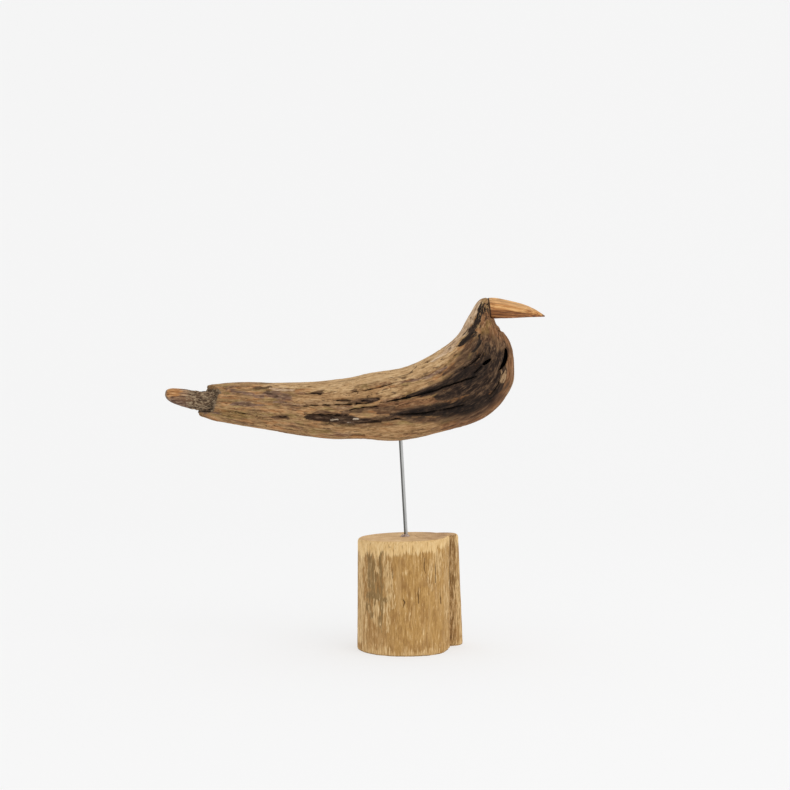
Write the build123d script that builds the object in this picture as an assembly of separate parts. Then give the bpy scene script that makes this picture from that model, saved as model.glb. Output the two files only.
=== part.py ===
"""A driftwood shorebird on a steel rod and a log base, in millimetres.

+X runs from the tail to the beak, +Y to the bird's left and +Z up. The origin
is on the underside of the log, below the place where the rod enters it.
"""

import os
from math import copysign, cos, radians, sin, tan

from build123d import *

# Rod and pin
ROD_DIAMETER = 4.0
ROD_LEAN = 3.2  # degrees from upright, towards the tail
ROD_IN_LOG = 38.0
ROD_ABOVE_LOG = 135.0
SWIVEL_CLEARANCE = 0.06  # radial, between the rod and its hole in the bird
HOLE_END_GAP = 0.1  # between the rod's upper end and the end of its hole
PIN_DIAMETER = 3.0
PIN_LENGTH = 24.0
PIN_DROP = 1.5  # from the middle of the beak's seat down to the pin

# The log: radii of its stem and side lobe at equal angles from +X
LOG_HEIGHT = 118.5
LOG_RIM = 4.0  # rounding of the upper edge
SAW_CUT_SLOPE = 1.5  # degrees that the top face rises towards +X
STEM_CENTRE = (-2.5, 0.0)
STEM_RADII = [48.6, 52.0, 51.5, 50.0, 48.9, 49.0, 50.0, 51.0]
LOBE_FOOT = (44.8, 27.0)
LOBE_TOP = (39.4, 26.0)
LOBE_RADII = [17.0, 17.5, 19.0, 18.0, 16.5, 17.0]
LOBE_DROP = 0.8  # how far the lobe's top is below the stem's
GLUE_RADIUS = 5.4
GLUE_COLLAR = 1.2  # how far the bead's top stands out from the rod
GLUE_HEIGHT = 2.2
GLUE_SLUMP = 1.0  # how far the bead lies off the rod's foot

# Ribs of the driftwood, from the tail to the crown of the head. Each is the
# back's x and z, the belly's x and z, the half width and the y of its middle.
RIBS = [
    (-233.0, 277.5, -237.0, 245.0, 15.0, 4.5),
    (-206.0, 279.6, -210.0, 241.6, 17.0, 4.0),
    (-179.0, 281.8, -182.0, 237.2, 20.0, 3.4),
    (-146.0, 281.4, -148.0, 231.8, 22.5, 2.6),
    (-111.0, 281.6, -111.0, 225.4, 24.5, 1.6),
    (-76.0, 284.4, -72.0, 221.3, 26.5, 0.8),
    (-41.0, 291.2, -28.0, 219.9, 28.0, 0.0),
    (-15.0, 295.0, 7.0, 222.0, 29.0, -0.5),
    (4.3, 299.8, 32.0, 227.8, 29.5, -0.8),
    (23.6, 309.0, 57.0, 234.0, 29.5, -0.8),
    (43.0, 321.8, 84.0, 244.8, 28.5, -0.6),
    (55.8, 333.8, 104.8, 264.8, 26.5, -0.3),
    (62.4, 344.8, 114.8, 289.0, 23.5, 0.0),
    (67.2, 353.2, 113.8, 312.5, 19.0, 0.3),
    (71.4, 360.4, 105.4, 331.6, 15.0, 0.5),
    (75.0, 366.2, 96.6, 341.4, 12.2, 0.5),
    (79.4, 370.0, 93.6, 352.0, 10.6, 0.5),
    (84.6, 371.4, 94.0, 365.0, 8.0, 0.5),
]
SECTION_POINTS = 12
SECTION_SQUARENESS = 2.25  # 2 is an ellipse

# The broken tail end: a point on it and how it slants
BREAK_POINT = (-206.0, 0.0, 281.0)
BREAK_LEAN = 13.0  # degrees that its lower edge reaches past its upper edge
BREAK_TURN = 32.0  # degrees that it turns towards the bird's right side

# Slots worn right into the breast's right side: the x and z of the middle,
# length, width, how far the slot bows, slope in degrees, and the floor's y
WORN_SLOTS = [
    (99.8, 306.4, 28.0, 4.6, 4.0, 73.0, -6.0),
    (84.0, 302.7, 13.0, 3.4, 0.0, 35.0, -14.0),
]
# A slot's bow and width a quarter of the way along, as shares of its middle's
SLOT_QUARTER_BOW = 0.75
SLOT_QUARTER_WIDTH = 0.84

# The beak: its seat on the head, then x, underside z, top z and width
BEAK_SEAT_TOP = Vector(86.2, 0.5, 371.0)
BEAK_SEAT_THROAT = Vector(88.6, 0.5, 348.8)
BEAK_SEAT_WIDTH = 18.0
BEAK_STATIONS = [
    (104.0, 349.4, 369.6, 16.2),
    (119.0, 350.0, 366.0, 13.0),
    (132.0, 350.6, 361.5, 9.2),
    (141.0, 350.9, 356.6, 5.2),
    (147.4, 351.1, 352.3, 1.2),
]
# One side of the beak's carved section: shares of its width and height
BEAK_FACETS = [(0.15, 1.0), (0.38, 0.76), (0.5, 0.40), (0.24, 0.0)]

# The tail's x, underside z, top z and width
TAIL_STATIONS = [
    (-256.0, 267.0, 271.4, 5.0),
    (-253.4, 263.0, 274.6, 10.0),
    (-246.0, 258.6, 275.6, 13.5),
    (-236.0, 255.0, 274.8, 15.5),
    (-226.0, 252.2, 274.0, 17.0),
    (-212.0, 250.0, 273.0, 17.5),
    (-190.0, 251.0, 272.0, 15.5),
]
TAIL_Y = 3.0

UP_ROD = Vector(-sin(radians(ROD_LEAN)), 0, cos(radians(ROD_LEAN)))
ROD_FOOT = Vector(0, 0, LOG_HEIGHT)


def round_section(top, bottom, half_width):
    """A rounded section that stands between a top and a bottom point."""
    middle, half_height = (top + bottom) * 0.5, (top - bottom) * 0.5
    sideways = Vector(0, half_width, 0)
    power = 2 / SECTION_SQUARENESS
    points = []
    for i in range(SECTION_POINTS):
        turn = radians(360 / SECTION_POINTS * i)
        up = copysign(abs(cos(turn)) ** power, cos(turn))
        out = copysign(abs(sin(turn)) ** power, sin(turn))
        points.append(middle + half_height * up + sideways * out)
    return make_face(Spline(*points, periodic=True))


def rib_section(back_x, back_z, belly_x, belly_z, half_width, y):
    """The driftwood's section at one rib."""
    return round_section(Vector(back_x, y, back_z), Vector(belly_x, y, belly_z), half_width)


def tail_section(x, low, high, width):
    """The tail's section at x."""
    return round_section(Vector(x, TAIL_Y, high), Vector(x, TAIL_Y, low), width / 2)


def rod_cylinder(radius, start, end):
    """A cylinder on the rod's axis, between two heights along it from the log's top."""
    plane = Plane(origin=ROD_FOOT + UP_ROD * start, z_dir=UP_ROD)
    return Solid.make_cylinder(radius, end - start, plane)


def worn_slot(x, z, length, width, bow, slope, floor_y):
    """A bowed, round-ended cutter that opens a slot from the bird's right side."""
    outside_y = -60.0
    quarter, half = length / 4, length / 2
    near = bow * SLOT_QUARTER_BOW - width * SLOT_QUARTER_WIDTH / 2
    far = bow * SLOT_QUARTER_BOW + width * SLOT_QUARTER_WIDTH / 2
    outline = Spline(
        (-half, 0),
        (-quarter, near),
        (0, bow - width / 2),
        (quarter, near),
        (half, 0),
        (quarter, far),
        (0, bow + width / 2),
        (-quarter, far),
        periodic=True,
    )
    plane = Plane(
        origin=(x, outside_y, z),
        x_dir=(cos(radians(slope)), 0, sin(radians(slope))),
        z_dir=(0, 1, 0),
    )
    return extrude(plane * make_face(outline), floor_y - outside_y)


def break_cutter():
    """A block whose face leaves the slanting broken end of the driftwood."""
    size = 120.0
    block = Pos(-size / 2, 0, 0) * Box(size, size, size)
    return Pos(*BREAK_POINT) * Rot(0, BREAK_LEAN, 0) * Rot(0, 0, BREAK_TURN) * block


def beak_notch():
    """The block cut off the front of the head to seat the beak."""
    above_crown = 0.5  # as a share of the seat's height
    forward = Vector(40.0, 0, 0)
    half_width = Vector(0, 30.0, 0)
    top = BEAK_SEAT_TOP + (BEAK_SEAT_TOP - BEAK_SEAT_THROAT) * above_crown
    corners = [BEAK_SEAT_THROAT, BEAK_SEAT_THROAT + forward, top + forward, top]
    face = make_face(Polyline(*[corner - half_width for corner in corners], close=True))
    return extrude(face, amount=2 * half_width.Y, dir=(0, 1, 0))


def facet_section(bottom, top, width):
    """The beak's carved section between its underside and its top."""
    rise = top - bottom
    half = [bottom + rise * high + Vector(0, width * out, 0) for out, high in BEAK_FACETS]
    mirrored = [bottom + rise * high - Vector(0, width * out, 0) for out, high in BEAK_FACETS]
    return make_face(Polyline(*half, *reversed(mirrored), close=True))


def beak():
    """The carved beak, from its seat on the head to its tip."""
    seat_y = BEAK_SEAT_TOP.Y
    sections = [facet_section(BEAK_SEAT_THROAT, BEAK_SEAT_TOP, BEAK_SEAT_WIDTH)]
    for x, low, high, width in BEAK_STATIONS:
        sections.append(facet_section(Vector(x, seat_y, low), Vector(x, seat_y, high), width))
    return loft(sections)


def beak_pin():
    """The dowel pin of the beak, half in the head and half in the beak."""
    seat = BEAK_SEAT_TOP - BEAK_SEAT_THROAT
    along = Vector(0, 1, 0).cross(seat).normalized()
    centre = (BEAK_SEAT_TOP + BEAK_SEAT_THROAT) * 0.5 - seat.normalized() * PIN_DROP
    plane = Plane(origin=centre - along * (PIN_LENGTH / 2), z_dir=along)
    return Solid.make_cylinder(PIN_DIAMETER / 2, PIN_LENGTH, plane)


def tail():
    """The tongue-shaped tail, whose root fills its socket in the driftwood."""
    return loft([tail_section(*station) for station in TAIL_STATIONS])


def bird_body(tail_piece, pin):
    """The driftwood, with its broken end, its worn slots, and its sockets and hole."""
    driftwood = loft([rib_section(*rib) for rib in RIBS])
    driftwood -= break_cutter()
    driftwood -= beak_notch()
    for slot in WORN_SLOTS:
        driftwood -= worn_slot(*slot)
    driftwood -= tail_piece
    driftwood -= pin
    below_belly = 80.0
    hole_end = ROD_ABOVE_LOG + HOLE_END_GAP
    return driftwood - rod_cylinder(ROD_DIAMETER / 2 + SWIVEL_CLEARANCE, below_belly, hole_end)


def log_outline(centre, radii, height, slope=0.0):
    """A closed, slightly uneven outline, which rises towards +X by slope degrees."""
    step = radians(360 / len(radii))
    points = []
    for i, radius in enumerate(radii):
        x = centre[0] + radius * cos(i * step)
        y = centre[1] + radius * sin(i * step)
        points.append((x, y, height + x * tan(radians(slope))))
    return make_face(Spline(*points, periodic=True))


def log_stem(foot, top, radii, height):
    """One stem of the log, with its upper edge rounded."""
    sawn_top = log_outline(top, radii, height, SAW_CUT_SLOPE)
    stem = loft([log_outline(foot, radii, 0), sawn_top])
    return fillet(stem.faces().sort_by(Axis.Z)[-1].edges(), LOG_RIM)


def base_log():
    """The log: a round stem and a side lobe that grew together, drilled for the rod."""
    stem = log_stem(STEM_CENTRE, STEM_CENTRE, STEM_RADII, LOG_HEIGHT)
    lobe = log_stem(LOBE_FOOT, LOBE_TOP, LOBE_RADII, LOG_HEIGHT - LOBE_DROP)
    above_top = 20.0
    return stem + lobe - rod_cylinder(ROD_DIAMETER / 2, -ROD_IN_LOG, above_top)


def rod_glue(rod):
    """The bead of set glue round the rod's foot."""
    uphill = Vector(cos(radians(SAW_CUT_SLOPE)), 0, sin(radians(SAW_CUT_SLOPE)))
    middle = ROD_FOOT - uphill * GLUE_SLUMP - Vector(0, GLUE_SLUMP, 0)
    plane = Plane(origin=middle, x_dir=uphill, z_dir=uphill.cross(Vector(0, 1, 0)))
    top_radius = ROD_DIAMETER / 2 + GLUE_COLLAR
    return Solid.make_cone(GLUE_RADIUS, top_radius, GLUE_HEIGHT, plane) - rod


def main():
    os.makedirs("parts", exist_ok=True)
    rod = rod_cylinder(ROD_DIAMETER / 2, -ROD_IN_LOG, ROD_ABOVE_LOG)
    tail_piece = tail()
    pin = beak_pin()
    pieces = {
        "base_log": base_log(),
        "support_rod": rod,
        "rod_glue": rod_glue(rod),
        "bird_body": bird_body(tail_piece, pin),
        "tail": tail_piece,
        "beak": beak() - pin,
        "beak_pin": pin,
    }
    for name, piece in pieces.items():
        export_step(piece, f"parts/{name}.step")


main()
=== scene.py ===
"""The looks of a driftwood bird on a steel rod and a log base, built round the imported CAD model.

Shapes are worked out in millimetres and written to the meshes in metres.
"""

import math

import bpy
import numpy as np
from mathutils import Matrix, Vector


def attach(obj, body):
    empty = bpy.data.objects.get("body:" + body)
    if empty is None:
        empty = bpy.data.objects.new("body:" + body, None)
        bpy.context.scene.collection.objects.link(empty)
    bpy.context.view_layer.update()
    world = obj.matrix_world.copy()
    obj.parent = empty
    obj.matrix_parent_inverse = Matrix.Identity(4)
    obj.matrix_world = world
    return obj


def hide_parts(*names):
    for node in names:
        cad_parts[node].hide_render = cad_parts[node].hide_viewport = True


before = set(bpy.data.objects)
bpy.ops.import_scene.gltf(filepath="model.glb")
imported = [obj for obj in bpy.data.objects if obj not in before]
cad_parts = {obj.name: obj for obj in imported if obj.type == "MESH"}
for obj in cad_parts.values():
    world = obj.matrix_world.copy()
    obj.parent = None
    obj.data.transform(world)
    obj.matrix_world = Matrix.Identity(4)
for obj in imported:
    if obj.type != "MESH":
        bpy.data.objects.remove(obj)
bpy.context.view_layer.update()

MM = 0.001

# The camera looks along +Y, level with the middle of the bird's body
CAMERA_X = -11.7
CAMERA_Z = 268.2
CAMERA_DISTANCE = 1484.0
CAMERA_LENS = 63.8
CAMERA_SENSOR = 36.0
CAMERA_REACH = 20000.0

# The rod stands in the log's sawn top and leans towards the tail
LOG_TOP = 118.5
ROD_FOOT = np.array((0.0, 0.0, LOG_TOP))
ROD_UP = np.array((-0.0558215, 0.0, 0.99844076))
ROD_LEAN = 0.0559  # how far it leans towards -X for each millimetre of height

# Ribs that the driftwood's grain follows, from the tail to the crown: the
# back's x and z, the belly's x and z, the half width and the y of the middle
GRAIN_RIBS = np.array([
    (-262.0, 277.0, -268.0, 246.0, 13.0, 5.0),
    (-206.0, 279.6, -210.0, 241.6, 17.0, 4.0),
    (-146.0, 281.4, -148.0, 231.8, 22.5, 2.6),
    (-76.0, 284.4, -72.0, 221.3, 26.5, 0.8),
    (-15.0, 295.0, 7.0, 222.0, 29.0, -0.5),
    (23.6, 309.0, 57.0, 234.0, 29.5, -0.8),
    (55.8, 333.8, 104.8, 264.8, 26.5, -0.3),
    (67.2, 353.2, 113.8, 312.5, 19.0, 0.3),
    (75.0, 366.2, 96.6, 341.4, 12.2, 0.5),
    (84.6, 371.4, 94.0, 365.0, 8.0, 0.5),
])
GRAIN_ROWS = 400  # finer ribs, worked out between those above
GRAIN_SPREAD = 56.0  # how far apart the back and the belly are in grain coordinates
BODY_ROUNDNESS = 2.25  # the power in the body's cross-section, where an ellipse has 2
BATCH = 4000  # points compared with the ribs at once, which keeps the arrays small

FAR_OUTSIDE = -9.0  # stands for a point that no stroke comes near
LAYERS_SPAN = 1.6  # about what the shares of a rough noise's layers add up to


# ---- numbers

def smooth_step(value, low, high):
    """0 below low, 1 above high and an eased rise between them."""
    share = np.clip((value - low) / (high - low), 0, 1)
    return share * share * (3 - 2 * share)


def smooth_fall(value, low, high):
    """1 below low, 0 above high and an eased fall between them."""
    return smooth_step(-value, -high, -low)


def lattice_value(cell, seed):
    """A repeatable value between -1 and 1 for each whole-numbered cell."""
    mixed = cell[:, 0] * 73856093 ^ cell[:, 1] * 19349663 ^ cell[:, 2] * 83492791
    mixed = (mixed + seed * 374761393) & 0xFFFFFFFF
    mixed = ((mixed ^ (mixed >> 15)) * 2246822519) & 0xFFFFFFFF
    mixed = ((mixed ^ (mixed >> 13)) * 3266489917) & 0xFFFFFFFF
    return ((mixed ^ (mixed >> 16)) & 0xFFFF) / 32767.5 - 1


def noise(points, size, seed):
    """Smooth noise between -1 and 1, with features of size along each axis."""
    scaled = points / np.asarray(size, float)
    cell = np.floor(scaled).astype(np.int64)
    part = scaled - cell
    ease = part * part * part * (part * (part * 6 - 15) + 10)
    total = np.zeros(len(points))
    for corner in np.ndindex(2, 2, 2):
        weight = np.prod(np.where(np.array(corner) == 1, ease, 1 - ease), axis=1)
        total += weight * lattice_value(cell + np.array(corner), seed)
    return total


def rough_noise(points, size, seed, octaves=3):
    """Noise with finer and fainter layers laid over it."""
    total = np.zeros(len(points))
    for octave in range(octaves):
        total += noise(points, np.asarray(size, float) / 2 ** octave, seed + octave) / 2 ** octave
    return total / LAYERS_SPAN


def inside_stroke(x, z, stroke):
    """1 on a stroke's middle line, 0 at its edge and less beyond it.

    A stroke is a list of points, each with x, z and the half width there.
    """
    best = np.full(len(x), FAR_OUTSIDE)
    for (x0, z0, w0), (x1, z1, w1) in zip(stroke, stroke[1:]):
        run = np.array((x1 - x0, z1 - z0))
        along = ((x - x0) * run[0] + (z - z0) * run[1]) / (run @ run)
        along = np.clip(along, 0, 1)
        away = np.hypot(x - x0 - along * run[0], z - z0 - along * run[1])
        best = np.maximum(best, 1 - away / (w0 + (w1 - w0) * along))
    return best


def smooth_rows(rows, count):
    """count rows along a smooth curve through the given ones (Catmull-Rom)."""
    ends = np.vstack([2 * rows[0] - rows[1], rows, 2 * rows[-1] - rows[-2]])
    at = np.linspace(0, len(rows) - 1.0001, count)
    whole = at.astype(int)
    t = (at - whole)[:, None]
    a, b, c, d = (ends[whole + k] for k in range(4))
    return 0.5 * (2 * b + (c - a) * t + (2 * a - 5 * b + 4 * c - d) * t ** 2
                  + (3 * b - a - 3 * c + d) * t ** 3)


def grain_coordinates(points):
    """Where each point lies in the driftwood: along, from belly to back, and across.

    Also gives how deep it lies, as a share of the way in from the surface.
    """
    ribs = smooth_rows(GRAIN_RIBS, GRAIN_ROWS)
    back, belly = ribs[:, 0:2], ribs[:, 2:4]
    middle = (back + belly) / 2
    steps = np.hypot(*np.diff(middle, axis=0).T)
    travelled = np.concatenate([[0], np.cumsum(steps)])
    rise = back - belly
    length = np.hypot(*rise.T)
    rise = rise / length[:, None]
    along = np.zeros(len(points))
    up = np.zeros(len(points))
    half_width = np.zeros(len(points))
    side = np.zeros(len(points))
    for start in range(0, len(points), BATCH):
        part = slice(start, start + BATCH)
        gap = points[part][:, None, [0, 2]] - belly[None]
        height = (gap * rise[None]).sum(2) / length[None]
        beside = gap[..., 0] * rise[None, :, 1] - gap[..., 1] * rise[None, :, 0]
        beyond = np.maximum(0, np.abs(height - 0.5) - 0.55) * length[None]
        nearest = np.argmin(np.abs(beside) + 3 * beyond, axis=1)
        row = np.arange(len(nearest))
        along[part] = travelled[nearest] + beside[row, nearest]
        up[part] = height[row, nearest]
        half_width[part] = ribs[nearest, 4]
        side[part] = points[part, 1] - ribs[nearest, 5]
    rim = np.abs(2 * up - 1) ** BODY_ROUNDNESS + np.abs(side / half_width) ** BODY_ROUNDNESS
    depth = (1 - rim ** (1 / BODY_ROUNDNESS)) * half_width
    return np.stack([along, up * GRAIN_SPREAD, side], 1), depth


# ---- meshes

def read_points(mesh):
    """The mesh's points, in millimetres."""
    values = np.empty(len(mesh.vertices) * 3)
    mesh.vertices.foreach_get("co", values)
    return values.reshape(-1, 3) / MM


def read_normals(mesh):
    """The mesh's outward direction at each point."""
    values = np.empty(len(mesh.vertices) * 3)
    mesh.vertex_normals.foreach_get("vector", values)
    return values.reshape(-1, 3)


def fine_copy(node, name, voxel, smoothing):
    """A new piece with the CAD node's shape in small even faces, and its points and normals."""
    piece = bpy.data.objects.new(name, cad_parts[node].data.copy())
    bpy.context.scene.collection.objects.link(piece)
    piece.data.materials.clear()
    remesh = piece.modifiers.new("even_faces", "REMESH")
    remesh.mode = "VOXEL"
    remesh.voxel_size = voxel * MM
    ease = piece.modifiers.new("ease", "SMOOTH")
    ease.factor = 0.5
    ease.iterations = smoothing
    evaluated = piece.evaluated_get(bpy.context.evaluated_depsgraph_get())
    mesh = bpy.data.meshes.new_from_object(evaluated)
    piece.modifiers.clear()
    piece.data = mesh
    mesh.name = name
    mesh.shade_smooth()
    return piece, read_points(mesh), read_normals(mesh)


def write_points(mesh, points):
    """Moves the mesh's points to new places, given in millimetres."""
    mesh.vertices.foreach_set("co", (points * MM).astype(np.float32).ravel())
    mesh.update()


def write_value(mesh, name, values):
    """Keeps one number for each point, for the material to read."""
    layer = mesh.attributes.new(name, "FLOAT", "POINT")
    layer.data.foreach_set("value", np.asarray(values, np.float32))


def write_vector(mesh, name, values):
    """Keeps one vector for each point, for the material to read."""
    layer = mesh.attributes.new(name, "FLOAT_VECTOR", "POINT")
    layer.data.foreach_set("vector", np.asarray(values, np.float32).ravel())


def clear_of_rod(points, radius, low, high):
    """Pushes points out of a round hole along the rod, between two heights above its foot."""
    gap = points - ROD_FOOT
    height = gap @ ROD_UP
    beside = gap - height[:, None] * ROD_UP
    away = np.linalg.norm(beside, axis=1)
    inside = (away < radius) & (height > low) & (height < high) & (away > 1e-6)
    grown = beside[inside] * (radius / away[inside])[:, None]
    points[inside] = ROD_FOOT + height[inside, None] * ROD_UP + grown
    return points


# ---- materials

# Sockets of a mix node that mixes colours
MIX_FIRST = 6
MIX_SECOND = 7
MIX_RESULT = 2


class Steps:
    """Builds a node tree from small steps."""

    def __init__(self, tree):
        self.nodes = tree.nodes
        self.links = tree.links

    def add(self, kind, **settings):
        """Adds one node with its settings."""
        node = self.nodes.new(kind)
        for setting, value in settings.items():
            setattr(node, setting, value)
        return node

    def join(self, source, target):
        """Links a socket, or sets a plain value."""
        if isinstance(source, bpy.types.NodeSocket):
            self.links.new(source, target)
        else:
            target.default_value = source

    def span(self, value, low, high, to_low=0.0, to_high=1.0):
        """Maps low to high onto to_low to to_high, eased."""
        node = self.add("ShaderNodeMapRange", interpolation_type="SMOOTHSTEP")
        self.join(value, node.inputs["Value"])
        node.inputs["From Min"].default_value = low
        node.inputs["From Max"].default_value = high
        node.inputs["To Min"].default_value = to_low
        node.inputs["To Max"].default_value = to_high
        return node.outputs["Result"]

    def calc(self, operation, a, b=0.0):
        """One step of arithmetic, on sockets or plain numbers."""
        node = self.add("ShaderNodeMath", operation=operation)
        self.join(a, node.inputs[0])
        self.join(b, node.inputs[1])
        return node.outputs["Value"]


class Paint(Steps):
    """Builds a node material. Sizes are in millimetres."""

    def __init__(self, name):
        self.material = bpy.data.materials.new(name)
        self.material.use_nodes = True
        super().__init__(self.material.node_tree)
        self.shader = self.nodes["Principled BSDF"]

    def value(self, name):
        """A number that the mesh keeps for each point."""
        return self.add("ShaderNodeAttribute", attribute_name=name).outputs["Fac"]

    def vector(self, name):
        """A vector that the mesh keeps for each point."""
        return self.add("ShaderNodeAttribute", attribute_name=name).outputs["Vector"]

    def scaled(self, coordinates, size):
        """Coordinates in millimetres, divided so that one feature is size long."""
        node = self.add("ShaderNodeVectorMath", operation="DIVIDE")
        self.join(coordinates, node.inputs[0])
        node.inputs[1].default_value = size
        return node.outputs["Vector"]

    def noise(self, coordinates, size, detail=3.0, roughness=0.55):
        """Noise between 0 and 1, with features of size along each axis."""
        node = self.add("ShaderNodeTexNoise")
        self.join(self.scaled(coordinates, size), node.inputs["Vector"])
        node.inputs["Scale"].default_value = 1.0
        node.inputs["Detail"].default_value = detail
        node.inputs["Roughness"].default_value = roughness
        return node.outputs["Fac"]

    def mix(self, share, a, b):
        """One colour laid over another, with the given share."""
        node = self.add("ShaderNodeMix", data_type="RGBA")
        self.join(share, node.inputs["Factor"])
        self.join(a, node.inputs[MIX_FIRST])
        self.join(b, node.inputs[MIX_SECOND])
        return node.outputs[MIX_RESULT]

    def ramp(self, share, *stops):
        """A colour ramp: each stop is a place and a colour."""
        node = self.add("ShaderNodeValToRGB")
        elements = node.color_ramp.elements
        while len(elements) < len(stops):
            elements.new(0.5)
        for element, (place, colour) in zip(elements, stops):
            element.position = place
            element.color = colour
        self.join(share, node.inputs["Fac"])
        return node.outputs["Color"]

    def wood(self, tone, dark, middle, light):
        """Wood in three shades, each given as screen values, that follow a tone."""
        return self.ramp(tone, (0.38, rgb(*dark)), (0.5, rgb(*middle)), (0.62, rgb(*light)))

    def stain(self, colour, mask, tone, shades, share=1.0, wander=2.2):
        """Lays other wood over a colour, inside a mask whose edge wanders with the grain."""
        wobble = self.calc("MULTIPLY", self.calc("SUBTRACT", tone, 0.5), wander)
        edge = self.calc("ADD", self.value(mask), wobble)
        return self.mix(self.span(edge, 0.3, 0.8, 0.0, share), colour, self.wood(tone, *shades))

    def marks_and_painted_light(self, colour, mask, low, high, share, other):
        """Lays a colour over another where a mask or a noise passes from low to high: the wood's own
        marks, and also painted shade and painted highlights.
        """
        value = self.value(mask) if isinstance(mask, str) else mask
        return self.mix(self.span(value, low, high, 0.0, share), colour, rgb(*other))

    def blend_tones(self, first, second, share):
        """Adds two noises, the first with the given share."""
        return self.calc("ADD", self.calc("MULTIPLY", first, share),
                         self.calc("MULTIPLY", second, 1 - share))

    def stronger(self, tone, times):
        """Moves a tone away from its middle, or towards it where times is under 1."""
        return self.calc("ADD", self.calc("MULTIPLY", tone, times), (1 - times) / 2)

    def finish(self, colour, roughness, bumps, specular=0.3):
        """Joins the colour, the roughness and the bumps, given as (height, millimetres)."""
        self.join(colour, self.shader.inputs["Base Color"])
        self.join(roughness, self.shader.inputs["Roughness"])
        self.shader.inputs["Specular IOR Level"].default_value = specular
        normal = None
        for height, depth in bumps:
            bump = self.add("ShaderNodeBump")
            bump.inputs["Strength"].default_value = 1.0
            bump.inputs["Distance"].default_value = depth * MM
            self.join(height, bump.inputs["Height"])
            if normal is not None:
                self.links.new(normal, bump.inputs["Normal"])
            normal = bump.outputs["Normal"]
        if normal is not None:
            self.links.new(normal, self.shader.inputs["Normal"])
        return self.material


def rgb(red, green, blue):
    """A colour for a shader, from screen values of 0 to 255."""
    def linear(level):
        share = level / 255
        return share / 12.92 if share <= 0.04045 else ((share + 0.055) / 1.055) ** 2.4
    return (linear(red), linear(green), linear(blue), 1.0)


# ---- driftwood

# Where the tail end broke off: a point on the break and its direction inwards
BREAK_POINT = np.array((-206.0, 0.0, 281.0))
BREAK_INWARD = np.array((0.826, 0.530, -0.191))
BREAK_FRAY = 13.0  # how far in from the break the fibres are frayed
UPPER_LIP = (272.0, 276.5)  # heights between which the break passes into the skin above it
LOWER_LIP = (247.5, 250.5)  # and into the skin below it
LIP_DEPTH = 14.0  # how far in from the break the lips are worn
LOWER_LIP_RISE = 2.4  # how far the skin below is worn upwards
UPPER_LIP_CUT = 3.4  # how far the end is cut back under the upper lip

SIDE_EDGE = (1.5, 7.0)  # how far from the middle plane a side's marks begin and are whole
SWELL_LIMIT = 0.9  # how far the skin may swell out of the solid
CROWN = (345.0, 368.0)  # heights between which the head gets smoother
SLIVER = np.array((99.6, 332.8))  # x and z of a raised sliver at the throat
SLIVER_RISE = 1.5
SLIVER_RADIUS = 4.0
BEAK_ROOT_X = 86.2  # where the beak meets the flat seat on the head
BEAK_SEAT_FOOT = 345.0

# Marks on the bird's right side, then its left: points along each, with x, z and half width
RIGHT_CRACKS = [
    [(-27.3, 260.6, 0.4), (-11.7, 263, 0.8), (4, 266.1, 1.4), (24.8, 271.3, 1.5),
     (42.5, 277.6, 1.1), (58.1, 282.8, 0.7), (74.8, 288, 0.4)],
    [(-107.5, 256.7, 0.4), (-84.6, 257.8, 0.7), (-63.7, 258.3, 0.8), (-41.9, 259.8, 0.6),
     (-32.5, 260.9, 0.4)],
    [(-62.7, 270.3, 0.4), (-37.7, 274.4, 0.7), (-17.9, 279.6, 0.9), (-9.6, 282.8, 0.4)],
    [(-59.6, 252, 0.9), (-54.4, 253.8, 0.8), (-41.9, 255.4, 0.6), (-28.3, 256.7, 0.4)],
    [(-35.6, 241.1, 0.8), (-16.9, 242.1, 0.6), (-4.4, 243.2, 0.3)],
    [(-104, 269.6, 0.4), (-97, 270.3, 0.5), (-89, 270.2, 1)],
    [(-156.4, 276, 0.6), (-145, 276.5, 0.8)],
    [(-132.5, 245.3, 0.7), (-125.2, 245.3, 1.2)],
    [(-106, 247.6, 0.6), (-92, 247.6, 0.8), (-62, 246.4, 0.5)],
    [(-73.1, 262.4, 0.8), (-66, 263.2, 0.9), (-58, 263, 0.4)],
    [(71, 291, 0.4), (78.6, 298.2, 0.6)],
    [(97.6, 335.4, 1), (100.5, 336.4, 1.6)],
    [(60, 296, 0.4), (72, 304, 0.7), (80, 314, 0.5)],
    [(-6, 247.4, 0.5), (14, 248.6, 1), (40, 252.6, 0.8), (60, 257.6, 0.4)],
    [(-180, 250.5, 0.3), (-162, 246.5, 0.6), (-150, 244, 0.3)],
    [(88, 268, 0.3), (96, 278, 0.6), (100, 290, 0.3)],
]
RIGHT_HOLLOWS = [
    [(-106, 245.2, 1.4), (-92, 243.6, 4), (-73, 242.6, 6.6), (-54, 241.2, 5.6),
     (-41, 240.4, 2.6), (-27, 239.8, 1.2)],
    [(-46, 262.6, 1.2), (-38, 263.6, 2.4), (-29, 264.4, 2.2)],
    [(75.5, 308.6, 2.6), (78.5, 310, 2.8)],
]
LEFT_CRACKS = [
    [(-150, 262, 0.5), (-112, 263.5, 1), (-70, 264, 1.3), (-30, 268.5, 1), (-8, 273, 0.4)],
    [(-40, 246, 0.5), (0, 250, 1.3), (34, 260, 1.7), (62, 276, 1), (80, 293, 0.4)],
    [(10, 287, 0.4), (34, 300, 1), (52, 317, 0.8), (64, 336, 0.4)],
    [(-120, 240.5, 0.5), (-84, 238.5, 1.1), (-60, 238, 0.4)],
    [(-186, 270, 0.5), (-170, 271, 1.2), (-158, 271, 0.4)],
    [(88, 282, 0.4), (98, 298, 1.4), (101, 316, 0.6)],
]
LEFT_HOLLOWS = [
    [(-96, 250, 1.4), (-78, 251, 3.6), (-52, 253, 1.6)],
    [(52, 288, 2), (60, 296, 3.4), (66, 305, 2)],
]

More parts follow.
